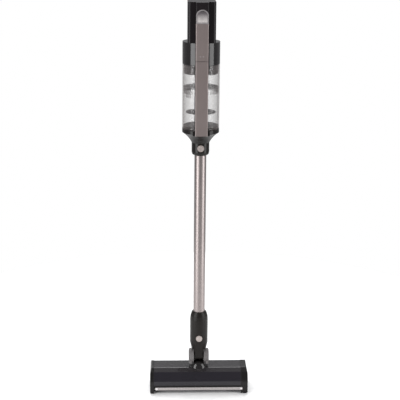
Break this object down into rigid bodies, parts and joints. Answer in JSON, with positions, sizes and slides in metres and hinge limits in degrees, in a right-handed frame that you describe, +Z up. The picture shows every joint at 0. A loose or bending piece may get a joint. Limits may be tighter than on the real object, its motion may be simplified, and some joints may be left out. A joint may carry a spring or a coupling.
{
  "type": "cordless stick vacuum",
  "caption": "Upright cordless stick vacuum with a wide roller head, swivel joint, metal wand, clear dust bin, front air duct and looped rear handle.",
  "frame": {"origin": "on the floor, at the middle of the machine's footprint", "axes": "+Z up along the wand, front of the floor head towards -Y, +X across the head"},
  "size_m": [0.277, 0.1902, 1.1],
  "materials": {
    "gloss_black": "polished piano-black shell",
    "deck_gloss": "polished dark grey deck",
    "smoked": "smoked transparent window",
    "matte_black": "fine moulded texture",
    "grey_plastic": "satin grey",
    "champagne": "metallic champagne moulding",
    "champagne_metal": "anodised tube",
    "button_champagne": "satin button",
    "clear_bin": "clear polycarbonate",
    "smoke_inner": "translucent smoky inner part",
    "light_lens": "frosted light bar",
    "display_glass": "display lens",
    "display_trim": "satin trim",
    "roller_pile": "soft short pile",
    "felt": "felt strip",
    "filter_fabric": "pleated filter",
    "rubber": "soft rubber",
    "steel": "ground steel",
    "board": "circuit board",
    "cells": "wrapped cells"
  },
  "bodies": {
    "head": {"head_top_cover": "deck_gloss", "swivel_cradle": "matte_black", "front_window": "smoked", "front_lip": "matte_black", "light_bar_lens": "light_lens", "light_board": "board", "base_plate": "matte_black", "floor_seal": "felt", "left_end_cap": "deck_gloss", "drive_belt": "rubber", "brush_motor": "steel", "head_screws": "steel", "wheel_axles": "steel"},
    "end_cap": {"right_end_cap": "deck_gloss", "roller_bearing": "steel"},
    "roller": {"roller_core": "matte_black", "roller_pile": "roller_pile"},
    "drive_dog": {"drive_dog": "matte_black"},
    "motor_pinion": {"motor_pinion": "steel"},
    "left_wheel": {"left_wheel": "rubber"},
    "right_wheel": {"right_wheel": "rubber"},
    "swivel": {"swivel_ball": "gloss_black", "left_cheek": "grey_plastic", "right_cheek": "grey_plastic", "pitch_pins": "steel"},
    "lower_neck": {"neck_joint": "matte_black", "lower_connector": "matte_black"},
    "lower_button": {"lower_button": "button_champagne"},
    "wand": {"wand_tube": "champagne_metal", "wand_end_rings": "rubber"},
    "handheld": {"neck_housing": "gloss_black", "duct_channel": "matte_black", "spine_lower_cover": "champagne", "spine_upper_cover": "champagne", "upper_housing": "gloss_black", "exhaust_grilles": "matte_black", "motor_can": "steel", "main_board": "board", "top_housing": "gloss_black", "display_frame": "display_trim", "display_lens": "display_glass", "handle_frame": "matte_black", "handle_grip": "rubber", "charge_socket": "matte_black"},
    "upper_button": {"upper_button": "button_champagne"},
    "impeller": {"impeller": "steel"},
    "bin": {"bin_cup": "clear_bin", "bin_base": "matte_black", "cyclone_shroud": "smoke_inner", "inlet_skirt": "smoke_inner", "filter_cup": "smoke_inner", "pre_filter": "filter_fabric", "bin_seal": "rubber"},
    "bin_latch": {"bin_latch": "matte_black"},
    "battery": {"battery_case": "matte_black", "battery_cells": "cells", "battery_cap": "gloss_black"},
    "battery_latch": {"battery_latch": "matte_black"},
    "trigger": {"trigger": "grey_plastic"},
    "mode_button": {"mode_button": "button_champagne"}
  },
  "joints": [
    {"name": "end_cap_slide", "type": "slide", "parent": "head", "child": "end_cap", "axis": [1, 0, 0], "range_m": [0, 0.245]},
    {"name": "roller_spin", "type": "hinge", "parent": "end_cap", "child": "roller", "pos_m": [0, -0.05, 0.0223], "axis": [1, 0, 0], "continuous": true},
    {"name": "dog_spin", "type": "hinge", "parent": "head", "child": "drive_dog", "pos_m": [-0.127, -0.05, 0.0223], "axis": [1, 0, 0], "continuous": true},
    {"name": "pinion_spin", "type": "hinge", "parent": "head", "child": "motor_pinion", "pos_m": [-0.124, -0.006, 0.037], "axis": [1, 0, 0], "continuous": true},
    {"name": "left_wheel_spin", "type": "hinge", "parent": "head", "child": "left_wheel", "pos_m": [-0.095, 0.003, 0.009], "axis": [1, 0, 0], "continuous": true},
    {"name": "right_wheel_spin", "type": "hinge", "parent": "head", "child": "right_wheel", "pos_m": [0.095, 0.003, 0.009], "axis": [1, 0, 0], "continuous": true},
    {"name": "head_roll", "type": "hinge", "parent": "head", "child": "swivel", "pos_m": [0, -0.033, 0.062], "axis": [0, 1, 0], "range_deg": [-18, 18]},
    {"name": "head_pitch", "type": "hinge", "parent": "swivel", "child": "lower_neck", "pos_m": [0, -0.033, 0.1], "axis": [-1, 0, 0], "range_deg": [0, 80]},
    {"name": "lower_button_press", "type": "slide", "parent": "lower_neck", "child": "lower_button", "axis": [0, 1, 0], "range_m": [0, 0.0022], "stiffness_N_per_m": 400, "springref_m": -0.002},
    {"name": "wand_release", "type": "slide", "parent": "lower_neck", "child": "wand", "axis": [0, 0, 1], "range_m": [0, 0.05]},
    {"name": "handheld_release", "type": "slide", "parent": "wand", "child": "handheld", "axis": [0, 0, 1], "range_m": [0, 0.05]},
    {"name": "upper_button_press", "type": "slide", "parent": "handheld", "child": "upper_button", "axis": [0, 1, 0], "range_m": [0, 0.0022], "stiffness_N_per_m": 400, "springref_m": -0.002},
    {"name": "impeller_spin", "type": "hinge", "parent": "handheld", "child": "impeller", "pos_m": [0, -0.033, 0.95], "axis": [0, 0, 1], "continuous": true},
    {"name": "bin_slide", "type": "slide", "parent": "handheld", "child": "bin", "axis": [0, 1, 0], "range_m": [0, 0.11]},
    {"name": "bin_latch_press", "type": "slide", "parent": "bin", "child": "bin_latch", "axis": [0, 0, -1], "range_m": [0, 0.004], "stiffness_N_per_m": 400, "springref_m": -0.003},
    {"name": "battery_slide", "type": "slide", "parent": "handheld", "child": "battery", "axis": [0, 0, 1], "range_m": [0, 0.1]},
    {"name": "battery_latch_press", "type": "slide", "parent": "battery", "child": "battery_latch", "axis": [0, -1, 0], "range_m": [0, 0.005], "stiffness_N_per_m": 300, "springref_m": -0.003},
    {"name": "trigger_pull", "type": "hinge", "parent": "handheld", "child": "trigger", "pos_m": [0, 0.061, 1.046], "axis": [1, 0, 0], "range_deg": [0, 8], "stiffness_Nm_per_rad": 0.3, "springref_deg": -11.46},
    {"name": "mode_button_press", "type": "slide", "parent": "handheld", "child": "mode_button", "axis": [0, 0, -1], "range_m": [0, 0.0015], "stiffness_N_per_m": 400, "springref_m": -0.002}
  ],
  "couplings": [
    {"joint": "dog_spin", "follows": "roller_spin", "ratio": 1},
    {"joint": "pinion_spin", "follows": "roller_spin", "ratio": 2}
  ]
}
